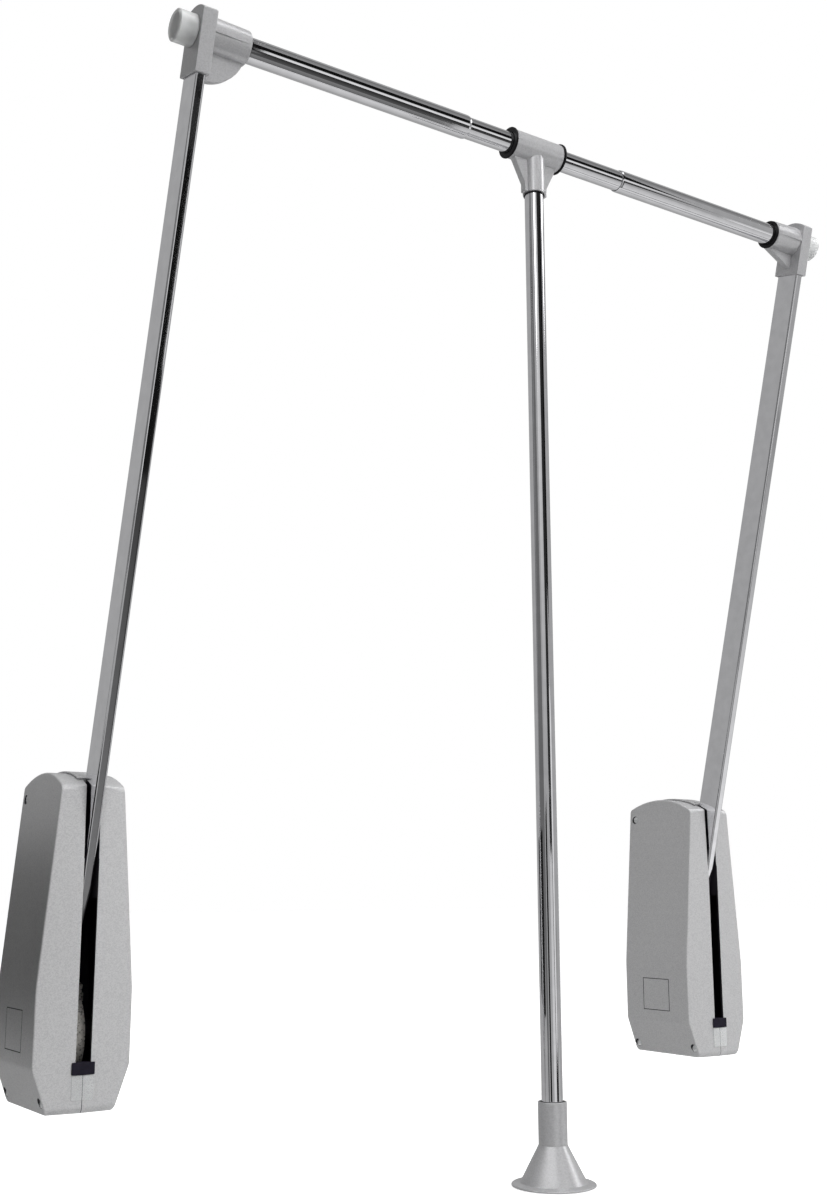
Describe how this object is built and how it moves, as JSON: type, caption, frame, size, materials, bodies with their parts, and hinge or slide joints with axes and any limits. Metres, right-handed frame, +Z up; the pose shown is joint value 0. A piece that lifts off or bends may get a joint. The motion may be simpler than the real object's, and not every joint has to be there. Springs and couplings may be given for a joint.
{
  "type": "pull down closet rod",
  "caption": "Pull down closet rod: two spring loaded wall casings with slotted fronts, flat chrome arms, a telescopic cross rod and a hanging pull handle with a flared foot.",
  "frame": {"origin": "on the wall face of the left casing, level with the axis on which both arms swing and at that axis's depth", "axes": "+X from the left wall to the right wall, -Y to the front, +Z up"},
  "size_m": [0.799, 0.3038, 0.9608],
  "materials": {
    "casing_silver": "satin silver with a fine metallic grain",
    "cast_silver": "satin silver, smooth",
    "bright_chrome": "mirror bright plate",
    "black_trim": "black, half gloss",
    "dark_rubber": "dull, near black",
    "clear_plastic": "milky clear, smooth",
    "cast_zinc": "greased casting",
    "spring_wire": "oiled spring wire",
    "plain_steel": "zinc plated",
    "screw_steel": "bright screw",
    "bush_plastic": "off white, self lubricating"
  },
  "bodies": {
    "left_casing": {"left_outer_shell": "casing_silver", "left_inner_shell": "casing_silver", "left_slot_cover": "casing_silver", "left_slot_bumper": "dark_rubber", "left_bumper_clip": "clear_plastic", "left_top_screw": "screw_steel", "left_rear_screw": "screw_steel", "left_front_screw": "screw_steel", "left_outer_bush": "bush_plastic", "left_inner_bush": "bush_plastic", "left_spring_bracket": "plain_steel", "left_damper_body": "plain_steel", "left_outer_spring": "spring_wire", "left_inner_spring": "spring_wire"},
    "left_swing": {"left_pivot_axle": "plain_steel", "left_hub": "cast_zinc", "left_arm": "bright_chrome", "left_connector": "cast_silver", "left_mouth_ring": "black_trim", "left_end_cap": "clear_plastic", "left_rod_anchor": "plain_steel", "left_outer_tube": "bright_chrome"},
    "left_rack": {"left_rack": "cast_zinc", "left_damper_rod": "screw_steel"},
    "right_casing": {"right_inner_shell": "casing_silver", "right_outer_shell": "casing_silver", "right_slot_cover": "casing_silver", "right_slot_bumper": "dark_rubber", "right_bumper_clip": "clear_plastic", "right_top_screw": "screw_steel", "right_rear_screw": "screw_steel", "right_front_screw": "screw_steel", "right_inner_bush": "bush_plastic", "right_outer_bush": "bush_plastic", "right_spring_bracket": "plain_steel", "right_damper_body": "plain_steel", "right_inner_spring": "spring_wire", "right_outer_spring": "spring_wire"},
    "right_swing": {"right_pivot_axle": "plain_steel", "right_hub": "cast_zinc", "right_arm": "bright_chrome", "right_connector": "cast_silver", "right_mouth_ring": "black_trim", "right_end_cap": "clear_plastic", "right_rod_anchor": "plain_steel", "right_outer_tube": "bright_chrome"},
    "right_rack": {"right_rack": "cast_zinc", "right_damper_rod": "screw_steel"},
    "inner_rod": {"inner_tube": "bright_chrome", "left_tee_ring": "black_trim", "right_tee_ring": "black_trim"},
    "pull_handle": {"tee": "cast_silver", "handle_ring": "black_trim", "handle_tube": "bright_chrome", "foot_ring": "black_trim", "handle_foot": "cast_silver"}
  },
  "joints": [
    {"name": "width_adjust", "type": "slide", "parent": "left_casing", "child": "right_casing", "axis": [1, 0, 0], "range_m": [-0.115, 0.12]},
    {"name": "left_arm_swing", "type": "hinge", "parent": "left_casing", "child": "left_swing", "pos_m": [0.0415, 0, 0], "axis": [1, 0, 0], "range_deg": [0, 78], "stiffness_Nm_per_rad": 6, "springref_deg": -114.59},
    {"name": "right_arm_swing", "type": "hinge", "parent": "right_casing", "child": "right_swing", "pos_m": [0.7575, 0, 0], "axis": [1, 0, 0], "range_deg": [0, 78], "stiffness_Nm_per_rad": 6, "springref_deg": -114.59},
    {"name": "left_rack_slide", "type": "slide", "parent": "left_casing", "child": "left_rack", "axis": [0, 0, 1], "range_m": [0, 0.0355], "deforming": ["left_outer_spring", "left_inner_spring"]},
    {"name": "right_rack_slide", "type": "slide", "parent": "right_casing", "child": "right_rack", "axis": [0, 0, 1], "range_m": [0, 0.0355], "deforming": ["right_inner_spring", "right_outer_spring"]},
    {"name": "inner_rod_slide", "type": "slide", "parent": "left_swing", "child": "inner_rod", "axis": [1, 0, 0], "range_m": [-0.0455, 0.0475]},
    {"name": "tee_turn", "type": "hinge", "parent": "inner_rod", "child": "pull_handle", "pos_m": [0.3915, -0.22337, 0.8165], "axis": [1, 0, 0], "continuous": true}
  ],
  "couplings": [
    {"joint": "right_arm_swing", "follows": "left_arm_swing", "ratio": 1},
    {"joint": "left_rack_slide", "follows": "left_arm_swing", "m_per_rad": 0.026},
    {"joint": "right_rack_slide", "follows": "left_arm_swing", "m_per_rad": 0.026},
    {"joint": "inner_rod_slide", "follows": "width_adjust", "ratio": 0.39}
  ]
}
